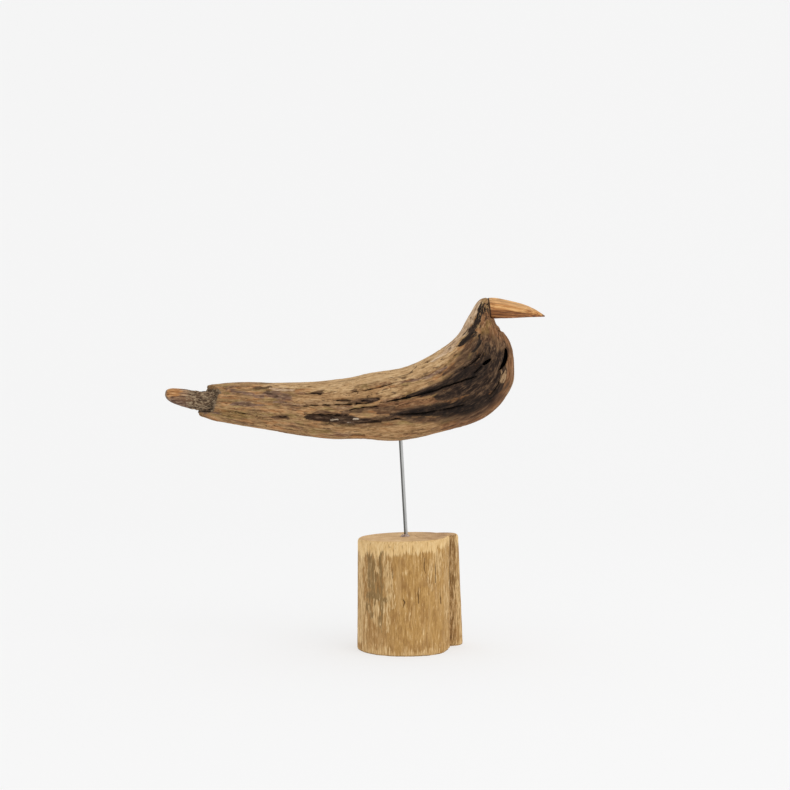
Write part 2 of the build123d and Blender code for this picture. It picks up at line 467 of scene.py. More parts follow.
# Stained and weathered areas, shared by both sides
SMOKY = [
    [(-78, 262, 1.5), (-54, 262, 2.6), (-31, 263.8, 2.4)],
    [(-62, 252, 2), (-38, 253.5, 3), (-14, 255, 2)],
    [(-96, 249.5, 1), (-78, 249.8, 2.2), (-60, 248.5, 1.4)],
    [(-16, 244, 2), (10, 243, 3.6), (36, 243, 3.6)],
    [(-27, 250, 2.5), (-8, 251, 5), (20, 254, 3)],
    [(36, 288, 1.5), (50, 298, 3), (60, 308, 4.5), (68, 324, 7)],
    [(-140, 245, 1.5), (-124, 245.2, 3.2)],
    [(-106, 269.5, 1.2), (-90, 270, 2.2)],
    [(-48, 242, 2), (-22, 243, 3.2), (6, 246, 2)],
    [(66, 318, 6), (84, 324, 11), (102, 316, 8)],
    [(10, 268, 2), (40, 275, 4), (70, 284, 6)],
    [(-160, 275.6, 1.2), (-144, 276, 2.2)],
    [(40, 243, 4), (70, 248, 7), (96, 268, 7)],
]
CHARRED = [
    [(-18, 247, 1.5), (8, 249.5, 5), (34, 252.5, 8), (62, 257.5, 10), (84, 268, 11)],
    [(0, 266.5, 1.5), (20, 271, 4), (40, 278, 6), (56, 288, 8.5), (78, 302, 14)],
    [(26, 264, 2), (44, 268.5, 6.5), (68, 280, 14), (87, 289, 18)],
    [(86, 320, 4), (95, 300, 10), (95, 280, 10)],
]
SOOTY = [
    [(-10, 246.5, 2.5), (8, 248.8, 5), (40, 252, 8.5), (68, 257, 8), (86, 265, 4)],
    [(10, 268, 1), (30, 274, 2.6), (48, 282, 3), (64, 294, 3.2)],
    [(62, 282, 4), (76, 291, 7), (82, 300, 4)],
    [(86, 262, 3), (95, 274, 4)],
]
TAWNY = [
    [(-104, 268, 2), (-84, 267.5, 4), (-62, 268, 3)],
    [(-114, 264, 4), (-90, 261.5, 5), (-68, 260.5, 2.5)],
    [(-74, 271, 4), (-48, 270.5, 5), (-22, 269.5, 5), (4, 274, 5), (22, 280, 3)],
    [(-16, 262, 1.5), (6, 262.5, 3), (26, 266, 2)],
    [(-92, 235, 3), (-50, 231, 4), (-14, 230, 6), (20, 234, 4), (34, 237, 2)],
    [(0, 292, 3), (22, 294, 6), (40, 302, 5), (50, 311, 3)],
]
BUFF = [
    [(99.5, 297, 0.8), (102.5, 289, 2.6), (100.5, 281, 1)],
    [(-106, 260, 2.5), (-86, 260, 4), (-64, 258.5, 3)],
]
CHALKY = [
    [(-142, 275.5, 1), (-131, 274.5, 2.8), (-121, 272, 1.4)],
    [(30, 305, 2), (50, 321, 4), (61, 338, 5), (70, 354, 5), (76, 364, 3)],
]
NAPE_STAIN = [
    [(82.5, 366, 1.6), (79, 356, 3), (73, 342, 4.4), (65.5, 331, 5), (57.5, 320.5, 1.2)],
    [(85.8, 366, 0.8), (87, 350, 1.4)],
    [(78, 332, 0.8), (75, 322, 2.2), (69, 313, 1.6)],
]
BLEACHED = [
    [(-90, 283, 8), (-50, 287, 11), (-14, 290, 13), (14, 296, 13),
     (36, 309, 9), (52, 324, 5.5), (63, 342, 4), (75, 362, 3)],
    [(-158, 276, 0.5), (-136, 279, 4), (-110, 281, 8), (-80, 279, 9), (-60, 276, 6)],
    [(-28, 269.5, 3.5), (-8, 272.5, 4), (6, 276, 2)],
]
REDDISH = [
    [(-30, 256, 2.5), (0, 259, 4), (28, 263, 4), (52, 270, 2)],
    [(40, 234, 5), (70, 240, 8), (98, 262, 7), (109, 290, 6),
     (110, 312, 5), (98, 336, 8), (90, 352, 6)],
    [(84, 330, 9), (86, 350, 8)],
]
MAUVE = [
    [(-189, 274, 1.4), (-172, 270.4, 2.8), (-152, 266, 2.4)],
    [(-147, 269.6, 3), (-136, 266.4, 5), (-124, 264, 3)],
    [(-4, 282, 0.8), (20, 286, 1.8), (44, 298, 1.6)],
    [(-218, 250, 3), (-204, 248.5, 2.8), (-194, 247.5, 1.4)],
    [(-184, 258.5, 1), (-162, 258, 1.8), (-146, 258, 1)],
]
MOSSY = [
    [(86, 345, 2), (82, 331, 3.2)],
    [(87, 318, 2), (85.5, 310, 2.4)],
    [(92, 286, 1.2), (90, 276, 2)],
    [(-196, 250, 3), (-170, 245, 4)],
]

# Pale splinters left in the largest hollow, on the right side only
SPLINTERS = [
    [(-77, 242.6, 0.9), (-71, 242.4, 1.3)],
    [(-57.5, 241.4, 0.9), (-52, 241.9, 1.3)],
]


def strongest(x, z, strokes):
    """How far inside the nearest of several strokes each point is."""
    return np.max([inside_stroke(x, z, stroke) for stroke in strokes], axis=0)


def marked(side, x, z, strokes):
    """How far inside the strokes each point is, on the side that a mask covers."""
    return np.where(side > 0.1, strongest(x, z, strokes), FAR_OUTSIDE)


def stained(points, grain, strokes, seed, low, high):
    """A soft mask, 0 to 1, of strokes whose edges follow the grain."""
    drift = 2.2 * noise(grain, (16, 3, 3), seed) + 1.2 * noise(grain, (6, 1.4, 1.4), seed + 1)
    inside = strongest(points[:, 0] + 2 * drift, points[:, 2] + drift, strokes)
    return smooth_step(inside, low, high)


def weathered(grain, crack, hollow):
    """How far weather lifts the skin or wears it down at each point.

    Also gives how deep in a check or a pit each point is, and the long flutes.
    """
    swell = rough_noise(grain, (70, 16, 16), 11)
    flutes = rough_noise(grain, (34, 4.2, 4.2), 21)
    fibres = rough_noise(grain, (12, 1.7, 1.7), 31, 2)
    pits = smooth_step(noise(grain, (8, 2.2, 2.2), 41), 0.45, 0.8)
    pits *= smooth_step(noise(grain, (36, 11, 11), 45), -0.1, 0.3)
    checks = smooth_fall(np.abs(noise(grain, (34, 4.2, 4.2), 51)), 0.0, 0.07)
    checks *= smooth_step(noise(grain, (30, 9, 9), 55), 0.0, 0.35)
    lift = -0.1 + 0.6 * swell + 0.5 * flutes + 0.36 * fibres
    lift -= 1.1 * pits + 0.9 * checks
    lift -= 1.0 * smooth_step(crack, -1.2, 0.4) + 3.0 * smooth_step(crack, 0.0, 0.7)
    lift -= 3.2 * smooth_step(hollow, -0.1, 0.6) * (1 + 0.4 * fibres)
    return lift, checks + 0.7 * pits, flutes


def tear_tail_end(points, z, grain, depth, from_break):
    """Tears the fibres at the break off at uneven lengths, shortest in the middle.

    Gives how far back each point is torn, and how bare the wood is there.
    """
    across = grain * (0.0, 1.0, 1.0)
    inner = smooth_step(depth, 0.3, 4.5)
    torn = 2.2 * noise(across, (9, 6.5, 6.5), 61) + 2.2 * noise(across, (9, 2.6, 2.6), 62)
    torn += 1.4 * noise(across, (9, 1.3, 1.3), 63) + 1.8
    lips = np.maximum(smooth_step(z, *UPPER_LIP), smooth_fall(z, *LOWER_LIP))
    torn = np.clip(torn, -1.0, 7.0) * (0.25 + 0.75 * inner) * (1 - 0.8 * lips)
    points[:, 0] += torn * smooth_fall(from_break, 0.0, BREAK_FRAY)
    lip = smooth_fall(from_break, 0.0, LIP_DEPTH)
    points[:, 2] += LOWER_LIP_RISE * lip * smooth_fall(z, 246.5, 251.0)
    under_lip = smooth_step(z, 266.0, 271.0) * smooth_fall(z, 274.5, 279.0)
    points[:, 0] += UPPER_LIP_CUT * lip * under_lip
    end = smooth_fall(from_break + 1.2 * noise(grain, (3, 1.6, 1.6), 65), 0.4, 2.6)
    return torn, end * (1 - 0.75 * lips)


def driftwood_body():
    """The driftwood: cracked, pitted and charred, with a crumbled tail end."""
    piece, points, normals = fine_copy("bird_body", "driftwood_body", voxel=0.88, smoothing=3)
    mesh = piece.data
    grain, depth = grain_coordinates(points)
    x, z = points[:, 0].copy(), points[:, 2].copy()
    from_break = (points - BREAK_POINT) @ BREAK_INWARD
    skin = smooth_fall(depth, 0.7, 2.2)
    right = smooth_step(-grain[:, 2], *SIDE_EDGE)
    left = smooth_step(grain[:, 2], *SIDE_EDGE)

    jitter = 0.7 * noise(grain, (4.5, 1.5, 1.5), 3)
    crack = np.maximum(marked(right, x + jitter, z + jitter, RIGHT_CRACKS),
                       marked(left, x + jitter, z + jitter, LEFT_CRACKS))
    crack += 0.5 * noise(grain, (7, 3, 3), 7) - 0.1
    ragged = jitter + 0.8 * noise(grain, (11, 2.2, 2.2), 5)
    hollow = np.maximum(marked(right, x + ragged, z + ragged, RIGHT_HOLLOWS),
                        marked(left, x + ragged, z + ragged, LEFT_HOLLOWS))

    lift, checks, flutes = weathered(grain, crack, hollow)
    crown = smooth_step(z, *CROWN)
    lift = np.minimum(lift * (1 - 0.7 * crown), SWELL_LIMIT * (1 - crown))
    from_sliver = np.linalg.norm(np.stack([x, z], 1) - SLIVER, axis=1)
    lift += SLIVER_RISE * smooth_fall(from_sliver, 0.5, SLIVER_RADIUS)
    beak_seat = smooth_step(x, BEAK_ROOT_X - 3.5, BEAK_ROOT_X)
    beak_seat *= smooth_step(z, BEAK_SEAT_FOOT, BEAK_SEAT_FOOT + 5.0)
    points += normals * (lift * skin * (1 - beak_seat))[:, None]
    torn, end = tear_tail_end(points, z, grain, depth, from_break)
    points = clear_of_rod(points, radius=2.25, low=90.0, high=136.0)

    write_points(mesh, points)
    write_vector(mesh, "grain", grain)
    # crack, hollow, checks, buried, torn and relief also set where the material paints shade in the
    # sunken places
    write_value(mesh, "crack", np.maximum(crack, -3))
    write_value(mesh, "hollow", np.maximum(hollow, -3))
    write_value(mesh, "checks", checks)
    open_cut = smooth_step(from_break, 3.0, 9.0) * (1 - beak_seat)
    write_value(mesh, "buried", np.clip(depth - 1.0, 0, 12) * open_cut)
    write_value(mesh, "end", end)
    write_value(mesh, "torn", torn * end)
    write_value(mesh, "relief", 0.5 + 0.5 * flutes)
    places = np.stack([x, points[:, 1], z], 1)
    stains = [
        ("char", CHARRED, 71, -0.7, 0.7),
        ("sooty", SOOTY, 77, -0.8, 0.9),
        ("smoky", SMOKY, 73, -0.8, 0.9),
        ("tawny", TAWNY, 83, -0.7, 0.8),
        ("buff", BUFF, 99, -0.8, 0.8),
        ("chalky", CHALKY, 87, -0.8, 0.8),
        ("nape", NAPE_STAIN, 75, -0.6, 0.6),
        ("bleached", BLEACHED, 81, -0.5, 0.9),
        ("reddish", REDDISH, 85, -0.8, 0.8),
        ("mauve", MAUVE, 91, -0.9, 0.9),
        ("mossy", MOSSY, 95, -0.9, 0.9),
    ]
    for name, strokes, seed, low, high in stains:
        write_value(mesh, name, stained(places, grain, strokes, seed, low, high))
    write_value(mesh, "splinters", right * stained(places, grain, SPLINTERS, 89, -0.5, 0.5))
    mesh.materials.append(driftwood_material())
    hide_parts("bird_body")
    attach(piece, "bird")


def driftwood_material():
    """Weathered tan wood with paler, redder, mauve, mossy, smoky and charred areas, and painted shade in
    its cracks, checks, pits, flute valleys, hollows, torn end and deep cuts.
    """
    paint = Paint("driftwood")
    grain = paint.vector("grain")
    hues = paint.noise(grain, (20, 5.4, 5.4), 4.0, 0.62)
    shadows = paint.noise(grain, (30, 7, 7), 4.0, 0.62)
    short_streaks = paint.noise(grain, (7.5, 2.0, 2.0), 4.0, 0.68)
    long_streaks = paint.noise(grain, (28, 2.6, 2.6), 4.0, 0.66)
    streaks = paint.blend_tones(short_streaks, long_streaks, 0.5)
    threads = paint.noise(grain, (7, 0.6, 0.6), 3.0, 0.6)
    flecks = paint.noise(grain, (9, 1.6, 1.6), 3.0)
    glints = paint.noise(grain, (5.2, 1.9, 1.9), 3.0)
    tone = paint.stronger(paint.blend_tones(streaks, threads, 0.8), 1.4)

    colour = paint.wood(tone, (122, 92, 62), (154, 119, 82), (186, 150, 107))
    warm = paint.wood(tone, (140, 94, 58), (176, 127, 82), (204, 160, 115))
    olive = paint.wood(tone, (110, 88, 54), (142, 115, 72), (174, 147, 100))
    umber = paint.wood(tone, (88, 64, 48), (120, 90, 69), (152, 121, 97))
    colour = paint.mix(paint.span(hues, 0.51, 0.62, 0.0, 0.85), colour, warm)
    colour = paint.mix(paint.span(hues, 0.49, 0.38, 0.0, 0.8), colour, olive)
    colour = paint.mix(paint.span(shadows, 0.53, 0.66, 0.0, 0.8), colour, umber)
    stains = [
        ("tawny", 0.85, (136, 102, 68), (170, 132, 91), (198, 160, 116)),
        ("bleached", 0.9, (158, 124, 85), (194, 158, 114), (214, 182, 138)),
        ("reddish", 0.8, (84, 54, 37), (124, 85, 57), (158, 114, 80)),
        ("mauve", 0.75, (86, 62, 54), (110, 85, 75), (142, 116, 101)),
        ("mossy", 0.5, (96, 74, 38), (134, 108, 62), (162, 132, 80)),
        ("smoky", 0.85, (50, 36, 29), (82, 60, 46), (130, 101, 73)),
        ("char", 1.0, (24, 18, 15), (54, 41, 33), (106, 82, 61)),
        ("sooty", 0.85, (17, 13, 12), (33, 26, 22), (64, 50, 40)),
        ("buff", 0.7, (116, 86, 58), (172, 138, 102), (200, 168, 128)),
        ("chalky", 0.9, (140, 110, 86), (194, 164, 132), (222, 197, 167)),
        ("nape", 1.0, (23, 19, 17), (42, 34, 28), (68, 54, 44)),
        ("end", 1.0, (52, 40, 31), (106, 88, 69), (160, 140, 114)),
    ]
    for mask, share, *shades in stains:
        colour = paint.stain(colour, mask, tone, shades, share)
    darkened = paint.calc("MAXIMUM", paint.value("char"), paint.value("smoky"))
    pale = paint.span(darkened, 0.5, 0.1, 0.0, 0.4)
    pale = paint.calc("MULTIPLY", paint.span(glints, 0.58, 0.68), pale)
    colour = paint.mix(pale, colour, rgb(206, 172, 128))
    clusters = paint.span(shadows, 0.42, 0.6, 0.12, 0.85)
    clusters = paint.calc("MULTIPLY", paint.span(flecks, 0.58, 0.68), clusters)
    colour = paint.mix(clusters, colour, rgb(64, 46, 35))
    # Painted shade: the sunken hollows are darkened almost to black
    hollow = paint.wood(tone, (28, 20, 17), (60, 45, 37), (112, 89, 72))
    colour = paint.mix(paint.span(paint.value("hollow"), -0.05, 0.4, 0.0, 0.92), colour, hollow)
    splinters = [(150, 130, 108), (190, 172, 150), (210, 196, 178)]
    colour = paint.stain(colour, "splinters", tone, splinters, 0.9)
    # Painted shade: darker colour in the torn fibres of the break, in checks and pits, in the valleys of
    # the flutes, in cracks and in deep cuts
    colour = paint.marks_and_painted_light(colour, "torn", 1.2, 4.5, 0.8, (40, 31, 25))
    colour = paint.marks_and_painted_light(colour, "checks", 0.25, 0.9, 0.7, (46, 33, 26))
    colour = paint.marks_and_painted_light(colour, "relief", 0.4, 0.1, 0.35, (74, 54, 40))
    colour = paint.marks_and_painted_light(colour, "crack", -0.1, 0.45, 0.95, (20, 15, 12))
    colour = paint.marks_and_painted_light(colour, "buried", 0.4, 2.5, 1.0, (12, 9, 8))
    return paint.finish(colour, 0.82, [(streaks, 0.9), (threads, 0.3), (flecks, 0.4)], 0.12)


# ---- tail and beak

TAIL_TIP = (-256.0, 3.0, 262.0)
TAIL_EDGE = (263.0, 269.0)  # heights between which the tail's underside passes into its top

BEAK_LENGTH = 61.2
BEAK_ROOT_Z = 359.6
BEAK_DROP = 7.6  # from the middle of the root to the middle of the tip
BEAK_TAPER = 0.55
BEAK_SEAT_TOP = 371.0
BEAK_SEAT_SLOPE = 0.108  # how far the seat comes forward for each millimetre down


def tail_tongue():
    """The worn tongue of the tail: smooth at its tip and crumbling at its root."""
    piece, points, normals = fine_copy("tail", "tail_tongue", voxel=0.55, smoothing=5)
    mesh = piece.data
    grain = points - TAIL_TIP
    root = smooth_step(grain[:, 0] + 3 * noise(grain, (9, 2.4, 2.4), 105), 17.0, 33.0)
    worn = 0.35 * rough_noise(grain, (16, 3.2, 3.2), 101) - 0.3
    crumbs = rough_noise(grain, (5.5, 1.9, 1.9), 111)
    lift = worn + root * (1.5 * crumbs - 0.9)
    points += normals * np.minimum(lift, 0)[:, None]
    write_points(mesh, points)
    write_vector(mesh, "grain", grain)
    write_value(mesh, "root", root)
    write_value(mesh, "pitted", smooth_step(-crumbs, 0.05, 0.6) * root)
    drift = 2.0 * noise(grain, (9, 2, 2), 107)
    top = smooth_step(points[:, 2] + drift, *TAIL_EDGE)
    write_value(mesh, "orange", top * smooth_fall(grain[:, 0] + 2 * drift, 12.0, 22.0))
    write_value(mesh, "tip", smooth_fall(grain[:, 0] + 0.4 * drift, 1.0, 3.6))
    under = smooth_fall(points[:, 2] + 0.22 * grain[:, 0] + drift, *TAIL_EDGE)
    write_value(mesh, "under", under)
    mesh.materials.append(tail_material())
    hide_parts("tail")
    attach(piece, "bird")


def tail_material():
    """Worn brown wood with an orange rubbed patch, a grey tip, a dark underside and painted shade in the
    sunken pits at its root.
    """
    paint = Paint("tail_wood")
    grain = paint.vector("grain")
    streaks = paint.noise(grain, (11, 1.7, 1.7), 4.0, 0.62)
    crumbs = paint.noise(grain, (3.2, 1.5, 1.5), 4.0, 0.65)
    colour = paint.wood(streaks, (88, 64, 50), (138, 106, 80), (186, 152, 120))
    colour = paint.stain(colour, "orange", streaks, [(132, 88, 52), (176, 124, 76), (206, 160, 112)])
    colour = paint.stain(colour, "under", streaks, [(64, 46, 40), (104, 78, 64), (150, 124, 104)], 0.9)
    colour = paint.stain(colour, "root", crumbs, [(50, 38, 30), (116, 94, 72), (172, 152, 124)], 0.9)
    colour = paint.marks_and_painted_light(colour, "tip", 0.2, 0.9, 0.8, (122, 108, 92))
    # Painted shade in the sunken pits at the tail's root
    colour = paint.marks_and_painted_light(colour, "pitted", 0.2, 0.9, 0.7, (44, 34, 28))
    return paint.finish(colour, 0.8, [(streaks, 0.5), (crumbs, 0.6)], 0.15)


def carved_beak():
    """The knife-cut beak, with softened edges and shallow flutes along its grain."""
    piece, points, normals = fine_copy("beak", "carved_beak", voxel=0.45, smoothing=4)
    mesh = piece.data
    along = points[:, 0] - BEAK_ROOT_X
    tip_share = np.clip(along / BEAK_LENGTH, 0, 1)
    middle_z = BEAK_ROOT_Z - BEAK_DROP * tip_share ** 1.3
    narrowing = 1 - BEAK_TAPER * tip_share
    grain = np.stack([along, (points[:, 2] - middle_z) / narrowing, points[:, 1] / narrowing], 1)
    flutes = rough_noise(grain, (38, 2.0, 2.0), 121)
    cuts = noise(grain, (11, 5, 5), 131)
    fade = 1 - 0.7 * smooth_step(tip_share, 0.6, 1.0)
    points += normals * (np.minimum(-0.16 + 0.16 * flutes + 0.14 * cuts, 0) * fade)[:, None]
    write_points(mesh, points)
    write_vector(mesh, "grain", grain)
    write_value(mesh, "shaded_lower", smooth_fall(grain[:, 1] + 0.7 * flutes, -2.2, 0.2))
    write_value(mesh, "crest_highlight", smooth_step(grain[:, 1], 3.5, 8.5))
    write_value(mesh, "tip", smooth_step(tip_share, 0.90, 1.0))
    from_seat = along - (BEAK_SEAT_TOP - points[:, 2]) * BEAK_SEAT_SLOPE
    write_value(mesh, "seam_shadow", smooth_fall(from_seat, 0.7, 2.6))
    mesh.materials.append(beak_material())
    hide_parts("beak")
    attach(piece, "bird")


def beak_material():
    """Oiled orange softwood with dark grain lines; painted shade makes it browner below, a painted
    highlight lightens its crest and a painted shadow darkens the seam at the head.
    """
    paint = Paint("beak_wood")
    grain = paint.vector("grain")
    lines = paint.noise(grain, (44, 1.15, 1.15), 3.0, 0.65)
    pores = paint.noise(grain, (9, 0.8, 0.8), 2.0)
    # Painted shade: the lower facet gets a darker copy of the same wood as the upper one
    upper = paint.wood(lines, (116, 62, 25), (197, 134, 72), (232, 184, 121))
    shaded_lower = paint.wood(lines, (74, 40, 18), (140, 86, 44), (190, 130, 76))
    colour = paint.mix(paint.value("shaded_lower"), upper, shaded_lower)
    # Painted highlight along the top of the beak
    colour = paint.marks_and_painted_light(colour, "crest_highlight", 0.3, 1.0, 0.35, (240, 198, 140))
    colour = paint.marks_and_painted_light(colour, pores, 0.56, 0.68, 0.55, (104, 58, 26))
    colour = paint.marks_and_painted_light(colour, "tip", 0.2, 1.0, 0.75, (92, 62, 40))
    # Painted shadow in the seam where the beak meets the head
    colour = paint.marks_and_painted_light(colour, "seam_shadow", 0.2, 0.9, 0.92, (40, 25, 17))
    return paint.finish(colour, 0.45, [(lines, 0.25), (pores, 0.12)], 0.3)


# ---- log

STEM_MIDDLE = np.array((-2.5, 0.0))
LOBE_MIDDLE_FOOT = np.array((44.8, 27.0))
LOBE_MIDDLE_TOP = np.array((39.4, 26.0))
STEM_RADIUS = 49.5
LOBE_RADIUS = 17.0
SAW_CUT_SLOPE = 0.0262  # rise of the top face for each millimetre towards +X
PITH = np.array((9.0, 12.0))
RING_SPACING = 2.1
# Painted light: the side towards the lamp is made lighter and more golden, partly the wood's own colour
LIT_GOLDEN_TURN = 0.9  # radians, of the more golden side, towards the beak and the bird's right
SAW_MARK_SPACING = 3.1
SANDED_RIM = 14.0  # how far down from the top the sanding of the upper edge reaches
ROUGH_STRIP_START = (43.0, 45.0)  # along X, where the rough strip on the lobe begins
ROUGH_STRIP_END = (52.5, 54.5)  # and where it ends
LOG_SWELL_LIMIT = 0.6  # how far the sides may swell out of the solid

# Drying splits in the log's top: points along each, with x, y and half width
TOP_SPLITS = [
    [(12, 14, 0.7), (26, 24, 0.5), (38, 30, 0.3)],
    [(6, 10, 0.6), (-16, 18, 0.5), (-34, 22, 0.2)],
    [(10, 8, 0.6), (14, -16, 0.5), (24, -34, 0.3)],
    [(2, 4, 0.4), (20, -4, 0.7), (36, -8, 0.3)],
]

# Scraped and dull streaks and checks on the side of the log towards -Y and on the front of
# its lobe: points along each, with x, z and half width
LOG_PALE = [
    [(-48, 108, 4), (-48.5, 60, 4.4), (-49, 12, 3.4)],
    [(-31, 108, 1), (-31, 84, 1.2)],
    [(-18.6, 106, 1.4), (-17.6, 86, 2.6), (-16.6, 66, 2.4), (-16, 48, 0.8)],
    [(-33, 57, 1.2), (-32.5, 44, 2.6), (-31.5, 30, 1)],
    [(-21, 58, 0.8), (-20.5, 42, 2.2), (-20, 24, 0.8)],
    [(24, 99, 1), (24.5, 82, 1.6), (25, 66, 0.8)],
    [(33, 108, 1.4), (34, 90, 1.8), (34.5, 76, 0.8)],
    [(42, 110, 1.3), (42.6, 60, 1.1), (43, 12, 1)],
    [(51.5, 108, 2), (55, 60, 2.4), (58, 12, 2)],
]
LOG_DULL = [
    [(-38, 107, 2.2), (-36.5, 88, 4.2), (-37, 66, 3.4), (-36, 38, 1.6)],
    [(-27, 107, 2.2), (-25.5, 84, 4.4), (-26, 60, 3.2), (-27, 24, 1.4)],
    [(-39, 61, 3.5), (-22, 57, 3.5)],
]
LOG_CHECKS = [
    [(19, 101, 0.3), (18.4, 92, 0.6), (20, 83, 0.3)],
    [(35, 66, 0.3), (35.6, 58, 0.6), (36, 51, 0.3)],
    [(-4, 60, 0.4), (-1.6, 56, 0.7), (-3.4, 50, 0.3)],
    [(12, 73, 0.3), (13, 60, 0.5), (12.4, 54, 0.3)],
    [(-14, 92, 0.3), (-14.4, 80, 0.5)],
    [(30, 96, 0.3), (30.6, 84, 0.5), (30.2, 74, 0.3)],
]


def log_piece():
    """The log: fibrous sides, a sanded upper rim, a rough strip on its lobe and a sawn top."""
    piece, points, normals = fine_copy("base_log", "weathered_log", voxel=1.0, smoothing=3)
    mesh = piece.data
    x, y, z = points[:, 0].copy(), points[:, 1].copy(), points[:, 2].copy()
    from_stem = points[:, :2] - STEM_MIDDLE
    turn = np.arctan2(from_stem[:, 1], from_stem[:, 0])
    height_share = np.clip(z / LOG_TOP, 0, 1)[:, None]
    lobe_middle = LOBE_MIDDLE_FOOT + (LOBE_MIDDLE_TOP - LOBE_MIDDLE_FOOT) * height_share
    lobe_gap = np.linalg.norm(points[:, :2] - lobe_middle, axis=1) - LOBE_RADIUS
    stem_gap = np.linalg.norm(from_stem, axis=1) - STEM_RADIUS
    below_top = LOG_TOP + x * SAW_CUT_SLOPE - z
    top_face = smooth_step(normals[:, 2], 0.75, 0.95) * smooth_step(-below_top, -3.0, -0.4)
    under_face = smooth_step(-normals[:, 2], 0.75, 0.95) * smooth_step(-z, -2.0, -0.3)
    side = (1 - top_face) * (1 - under_face)

    grain = np.stack([z, x, y], 1)
    flutes = rough_noise(grain, (110, 9, 9), 201)
    fibres = rough_noise(grain, (20, 2.2, 2.2), 211)
    chips = noise(grain, (9, 3.2, 3.2), 221)
    fringe = 3.4 * noise(grain, (60, 2.2, 2.2), 231) + 3.0 * noise(grain, (60, 11, 11), 232)
    rim_depth = SANDED_RIM - 4.5 * smooth_step(x, 10.0, 36.0)
    rim = smooth_fall(below_top - rim_depth - fringe, -3.5, 4.5)
    foot_edge = 6.0 + 6.0 * noise(grain, (60, 1.7, 1.7), 241) + 4.5 * noise(grain, (60, 9, 9), 242)
    foot = smooth_fall(z - foot_edge, -3.0, 3.5)
    chipped_x = x + 0.8 * chips
    strip = smooth_step(chipped_x, *ROUGH_STRIP_START) * (1 - smooth_step(chipped_x, *ROUGH_STRIP_END))
    groove = strip * smooth_fall(y, 20.0, 30.0) * smooth_step(stem_gap, -0.5, 1.2)
    valley = smooth_fall(lobe_gap, 0.0, 4.0) * smooth_fall(stem_gap, 0.0, 4.0)
    near = smooth_fall(y, -10.0, -2.0)
    near_lobe = smooth_step(x, 44.0, 48.0) * smooth_fall(y, 22.0, 32.0)
    checks = marked(near, x + 0.5 * chips, z, LOG_CHECKS)

    lift = 0.5 * flutes + 0.34 * fibres * (1 - 0.7 * rim) - 0.1
    lift -= 0.7 * smooth_step(chips, 0.5, 0.8) * (1 - rim) + 1.0 * smooth_step(checks, -0.5, 0.6)
    lift -= 1.3 * groove * (1 + 0.9 * chips) + 1.6 * valley
    room = LOG_SWELL_LIMIT * smooth_fall(np.abs(y), 42.0, 46.0)
    points += normals * (np.minimum(lift, room) * side)[:, None]

    splits = strongest(x, y + 0.5 * noise(points, (5, 5, 5), 261), TOP_SPLITS)
    saw_marks = np.sin((x * 0.35 + y) * 2 * math.pi / SAW_MARK_SPACING)
    saw_marks *= noise(points, (14, 14, 14), 271)
    sunk = np.minimum(0.1 * saw_marks - 0.12, 0) - 0.9 * smooth_step(splits, 0.0, 0.8)
    points[:, 2] += sunk * top_face
    nibble = smooth_fall(z, 0.0, 2.5) * side * (0.4 + 0.5 * noise(grain, (4, 5, 5), 281))
    points -= normals * nibble[:, None] * (1.0, 1.0, 0.0)
    points[:, 2] = np.clip(points[:, 2], 0, None)
    points = clear_of_rod(points, radius=2.05, low=-38.0, high=3.0)

    write_points(mesh, points)
    write_vector(mesh, "grain", grain)
    rings = np.linalg.norm(np.stack([x, y], 1) - PITH, axis=1)
    rings += 2.2 * noise(points, (26, 26, 60), 291) + 0.5 * noise(points, (8, 8, 60), 292)
    places = np.stack([x, y, z], 1)
    dull = stained(places, grain, LOG_DULL, 293, -0.8, 0.8) * near
    dull += smooth_step(noise(grain, (40, 7, 7), 295), 0.2, 0.6) * (1 - near)
    scraped = stained(places, grain, LOG_PALE, 297, -1.2, 1.0) * np.maximum(near, near_lobe)
    # Painted shade in the side checks, in chipped hollows of the rough strip and in the valley between
    # stem and lobe
    checks_and_valley_shade = np.maximum(checks, -3) + 0.3 * groove * smooth_fall(chips, -0.6, -0.1)
    write_value(mesh, "rings", rings)
    write_value(mesh, "top_face", np.maximum(top_face, under_face))
    write_value(mesh, "pink", smooth_step(x, -10.0, 45.0))
    write_value(mesh, "rim", rim * (1 - 0.85 * groove))
    write_value(mesh, "foot", foot)
    # Painted contact shadow along the log's bottom edge
    write_value(mesh, "contact_shadow", smooth_fall(z + 0.4 * chips, 0.2, 1.4) * side)
    write_value(mesh, "groove", np.clip(groove + 0.8 * valley, 0, 1))
    write_value(mesh, "splits", np.maximum(splits, -3))
    write_value(mesh, "checks", checks_and_valley_shade + 2.8 * valley)
    write_value(mesh, "dull", dull)
    write_value(mesh, "scraped", scraped)
    write_value(mesh, "lit_gold", smooth_step(np.cos(turn + LIT_GOLDEN_TURN), 0.2, 0.9))
    mesh.materials.append(log_material())
    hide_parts("base_log")
    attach(piece, "base")


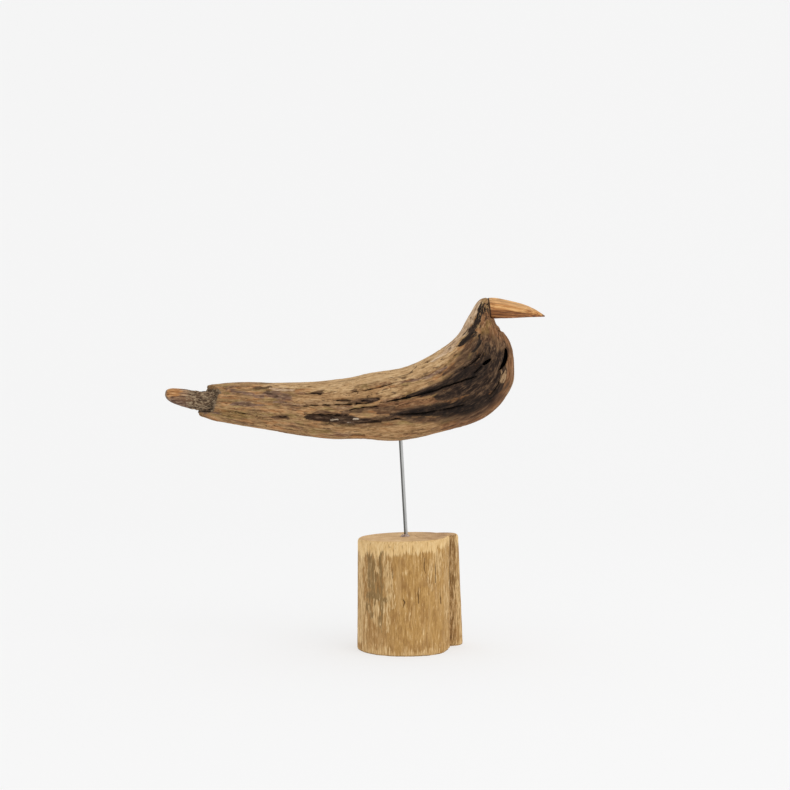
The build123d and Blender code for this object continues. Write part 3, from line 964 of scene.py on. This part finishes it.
def log_material():
    """Golden-brown barkless log, pale where it is sanded or scraped, lighter and more golden on the
    lamp's side partly through painted light, with a painted shadow along its foot and painted shade in
    its checks, its splits and the valley between stem and lobe.
    """
    paint = Paint("log_wood")
    grain = paint.vector("grain")
    streaks = paint.noise(grain, (13, 1.7, 1.7), 4.0, 0.7)
    threads = paint.noise(grain, (6, 0.7, 0.7), 3.0, 0.65)
    bands = paint.noise(grain, (60, 6, 6), 3.0)
    blotches = paint.noise(grain, (16, 7, 7), 3.0)
    specks = paint.noise(grain, (5, 1.6, 1.6), 2.0)
    tone = paint.blend_tones(streaks, threads, 0.65)

    colour = paint.wood(tone, (148, 111, 66), (174, 134, 83), (194, 154, 102))
    lit_gold = paint.wood(tone, (160, 120, 68), (188, 146, 86), (208, 168, 110))
    tawny = paint.wood(tone, (138, 100, 56), (162, 121, 72), (184, 144, 92))
    # Painted light, partly the wood's own colour: lighter, more golden wood on the lamp's side
    colour = paint.mix(paint.span(paint.value("lit_gold"), 0.0, 1.0, 0.0, 0.85), colour, lit_gold)
    colour = paint.mix(paint.span(blotches, 0.5, 0.64, 0.0, 0.6), colour, tawny)
    colour = paint.marks_and_painted_light(colour, bands, 0.54, 0.66, 0.35, (206, 168, 116))
    stains = [
        ("dull", 0.9, (106, 84, 50), (140, 113, 72), (172, 142, 98)),
        ("scraped", 0.85, (178, 142, 92), (210, 175, 123), (234, 204, 156)),
        ("groove", 0.95, (96, 68, 38), (164, 126, 78), (228, 194, 144)),
        ("foot", 0.85, (178, 140, 88), (206, 168, 114), (228, 196, 146)),
        ("rim", 0.95, (206, 166, 106), (228, 191, 134), (240, 210, 158)),
    ]
    for mask, share, *shades in stains:
        colour = paint.stain(colour, mask, tone, shades, share, 4.0)
    colour = paint.marks_and_painted_light(colour, specks, 0.6, 0.72, 0.4, (122, 88, 50))
    # Painted shade in the checks and in the valley between stem and lobe
    colour = paint.marks_and_painted_light(colour, "checks", -0.3, 0.5, 0.9, (82, 57, 34))
    # Painted contact shadow along the log's bottom edge
    colour = paint.marks_and_painted_light(colour, "contact_shadow", 0.2, 0.9, 0.7, (84, 60, 38))

    ring = paint.calc("MULTIPLY", paint.value("rings"), 2 * math.pi / RING_SPACING)
    ring = paint.calc("SINE", ring)
    mottle = paint.stronger(paint.noise(grain, (15, 15, 15), 4.0, 0.65), 0.5)
    ring_tone = paint.calc("ADD", paint.calc("MULTIPLY", ring, 0.04), mottle)
    sawn = paint.wood(ring_tone, (194, 156, 108), (216, 178, 130), (232, 200, 152))
    pinkish = paint.wood(ring_tone, (158, 118, 80), (188, 150, 108), (210, 176, 132))
    sawn = paint.mix(paint.value("pink"), sawn, pinkish)
    colour = paint.mix(paint.span(paint.value("top_face"), 0.35, 0.9), colour, sawn)
    # Painted shade in the drying splits of the sawn top
    colour = paint.marks_and_painted_light(colour, "splits", -0.2, 0.5, 0.8, (110, 78, 52))
    return paint.finish(colour, 0.8, [(streaks, 0.6), (threads, 0.3), (specks, 0.2)], 0.15)


def glue_bead():
    """The uneven bead of set glue round the rod's foot."""
    piece, points, normals = fine_copy("rod_glue", "glue_bead", voxel=0.3, smoothing=3)
    mesh = piece.data
    lumps = rough_noise(points, (2.6, 2.6, 2.6), 301)
    upper = smooth_step(points[:, 2] - LOG_TOP, 0.1, 0.9)
    points += normals * ((0.9 * lumps - 0.3) * upper)[:, None]
    points = clear_of_rod(points, radius=2.02, low=-5.0, high=5.0)
    write_points(mesh, points)
    write_vector(mesh, "grain", points)
    paint = Paint("glue")
    grain = paint.vector("grain")
    grit = paint.noise(grain, (1.6, 1.6, 1.6), 3.0)
    colour = paint.ramp(grit, (0.36, rgb(106, 82, 72)), (0.5, rgb(160, 134, 122)),
                        (0.64, rgb(210, 188, 172)))
    mesh.materials.append(paint.finish(colour, 0.35, [(grit, 0.25)], 0.5))
    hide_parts("rod_glue")
    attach(piece, "base")


def dress(node, material):
    """Gives a CAD node a material and leaves its shape alone."""
    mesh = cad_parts[node].data
    mesh.materials.clear()
    mesh.materials.append(material)


def steel_rod():
    """The CAD rod keeps its shape and gets drawn steel, with painted shade darkening it on the tail's
    side.
    """
    paint = Paint("rod_steel")
    place = paint.add("ShaderNodeTexCoord").outputs["Object"]
    drawn = paint.noise(place, (60 * MM, 0.5 * MM, 30 * MM), 3.0)
    smudges = paint.noise(place, (9 * MM, 9 * MM, 14 * MM), 2.0)
    bright = paint.ramp(drawn, (0.3, rgb(166, 166, 164)), (0.7, rgb(198, 198, 196)))
    split = paint.add("ShaderNodeSeparateXYZ")
    paint.join(place, split.inputs["Vector"])
    height = paint.calc("SUBTRACT", split.outputs["Z"], LOG_TOP * MM)
    from_axis = paint.calc("ADD", split.outputs["X"], paint.calc("MULTIPLY", height, ROD_LEAN))
    # Painted shade: the tail's side of the rod is darkened in colour, in place of a darker reflection
    painted_dark_side = paint.span(from_axis, 0.3 * MM, -0.9 * MM, 0.0, 0.95)
    colour = paint.mix(painted_dark_side, bright, rgb(84, 83, 80))
    rough = paint.span(smudges, 0.35, 0.7, 0.16, 0.26)
    material = paint.finish(colour, rough, [(drawn, 0.02)], 0.5)
    paint.shader.inputs["Metallic"].default_value = 1.0
    dress("support_rod", material)


def hidden_pin():
    """The CAD pin keeps its shape and gets plain dowel wood."""
    paint = Paint("pin_wood")
    place = paint.add("ShaderNodeTexCoord").outputs["Object"]
    streaks = paint.noise(place, (20 * MM, 0.5 * MM, 0.5 * MM), 3.0)
    colour = paint.ramp(streaks, (0.3, rgb(188, 156, 110)), (0.7, rgb(222, 194, 150)))
    dress("beak_pin", paint.finish(colour, 0.6, [(streaks, 0.05)]))


# ---- stage

# The stage's sizes are in metres
FLOOR_FRONT = -3.2
FLOOR_BACK = 1.6
SWEEP_RADIUS = 1.4
SWEEP_STEPS = 16
STAGE_HALF_WIDTH = 2.4
WALL_HEIGHT = 3.6
PAPER_GLOW = 0.58
LIT_MIDDLE = (0.0, 0.0, 0.22)


def backdrop():
    """A softly lit floor that curves up into a wall, far behind the object."""
    profile = [(FLOOR_FRONT, 0.0), (FLOOR_BACK, 0.0)]
    for i in range(1, SWEEP_STEPS + 1):
        turn = math.pi / 2 * i / SWEEP_STEPS
        profile.append((FLOOR_BACK + SWEEP_RADIUS * math.sin(turn), SWEEP_RADIUS * (1 - math.cos(turn))))
    profile.append((FLOOR_BACK + SWEEP_RADIUS, WALL_HEIGHT))
    corners = [(side * STAGE_HALF_WIDTH, y, z) for y, z in profile for side in (-1, 1)]
    faces = [(2 * i, 2 * i + 1, 2 * i + 3, 2 * i + 2) for i in range(len(profile) - 1)]
    mesh = bpy.data.meshes.new("backdrop")
    mesh.from_pydata(corners, [], faces)
    mesh.shade_smooth()
    stage = bpy.data.objects.new("backdrop", mesh)
    bpy.context.scene.collection.objects.link(stage)
    paint = Paint("pale_paper")
    paint.shader.inputs["Emission Color"].default_value = (1, 1, 1, 1)
    paint.shader.inputs["Emission Strength"].default_value = PAPER_GLOW
    mesh.materials.append(paint.finish(rgb(160, 160, 160), 0.9, [], 0.0))


def soft_light(name, place, target, size, watts):
    """A large square light that faces the target."""
    light = bpy.data.lights.new(name, "AREA")
    light.size = size
    light.energy = watts
    lamp = bpy.data.objects.new(name, light)
    bpy.context.scene.collection.objects.link(lamp)
    lamp.location = place
    lamp.rotation_euler = (Vector(target) - Vector(place)).to_track_quat("-Z", "Y").to_euler()


def sky():
    """An even white surround, slightly dimmer on the tail's side."""
    world = bpy.data.worlds.new("studio")
    bpy.context.scene.world = world
    world.use_nodes = True
    steps = Steps(world.node_tree)
    split = steps.add("ShaderNodeSeparateXYZ")
    steps.join(steps.add("ShaderNodeTexCoord").outputs["Generated"], split.inputs["Vector"])
    level = steps.span(split.outputs["X"], -0.95, 0.35, 0.84, 1.0)
    background = steps.nodes["Background"]
    steps.join(level, background.inputs["Strength"])
    background.inputs["Color"].default_value = (1, 1, 1, 1)


def studio():
    """The backdrop, the sky and one weak light from the front, above the beak's side."""
    backdrop()
    sky()
    soft_light("key", (1.1, -1.0, 1.7), LIT_MIDDLE, size=1.2, watts=4.5)
    bpy.context.scene.view_settings.view_transform = "Standard"


def camera():
    """A camera that sees the bird's right side."""
    data = bpy.data.cameras.new("camera")
    data.lens = CAMERA_LENS
    data.sensor_width = CAMERA_SENSOR
    data.clip_end = CAMERA_REACH * MM
    eye = bpy.data.objects.new("camera", data)
    bpy.context.scene.collection.objects.link(eye)
    eye.location = (CAMERA_X * MM, -CAMERA_DISTANCE * MM, CAMERA_Z * MM)
    eye.rotation_euler = (math.pi / 2, 0, 0)
    bpy.context.scene.camera = eye


camera()
studio()
driftwood_body()
tail_tongue()
carved_beak()
hidden_pin()
log_piece()
glue_bead()
steel_rod()
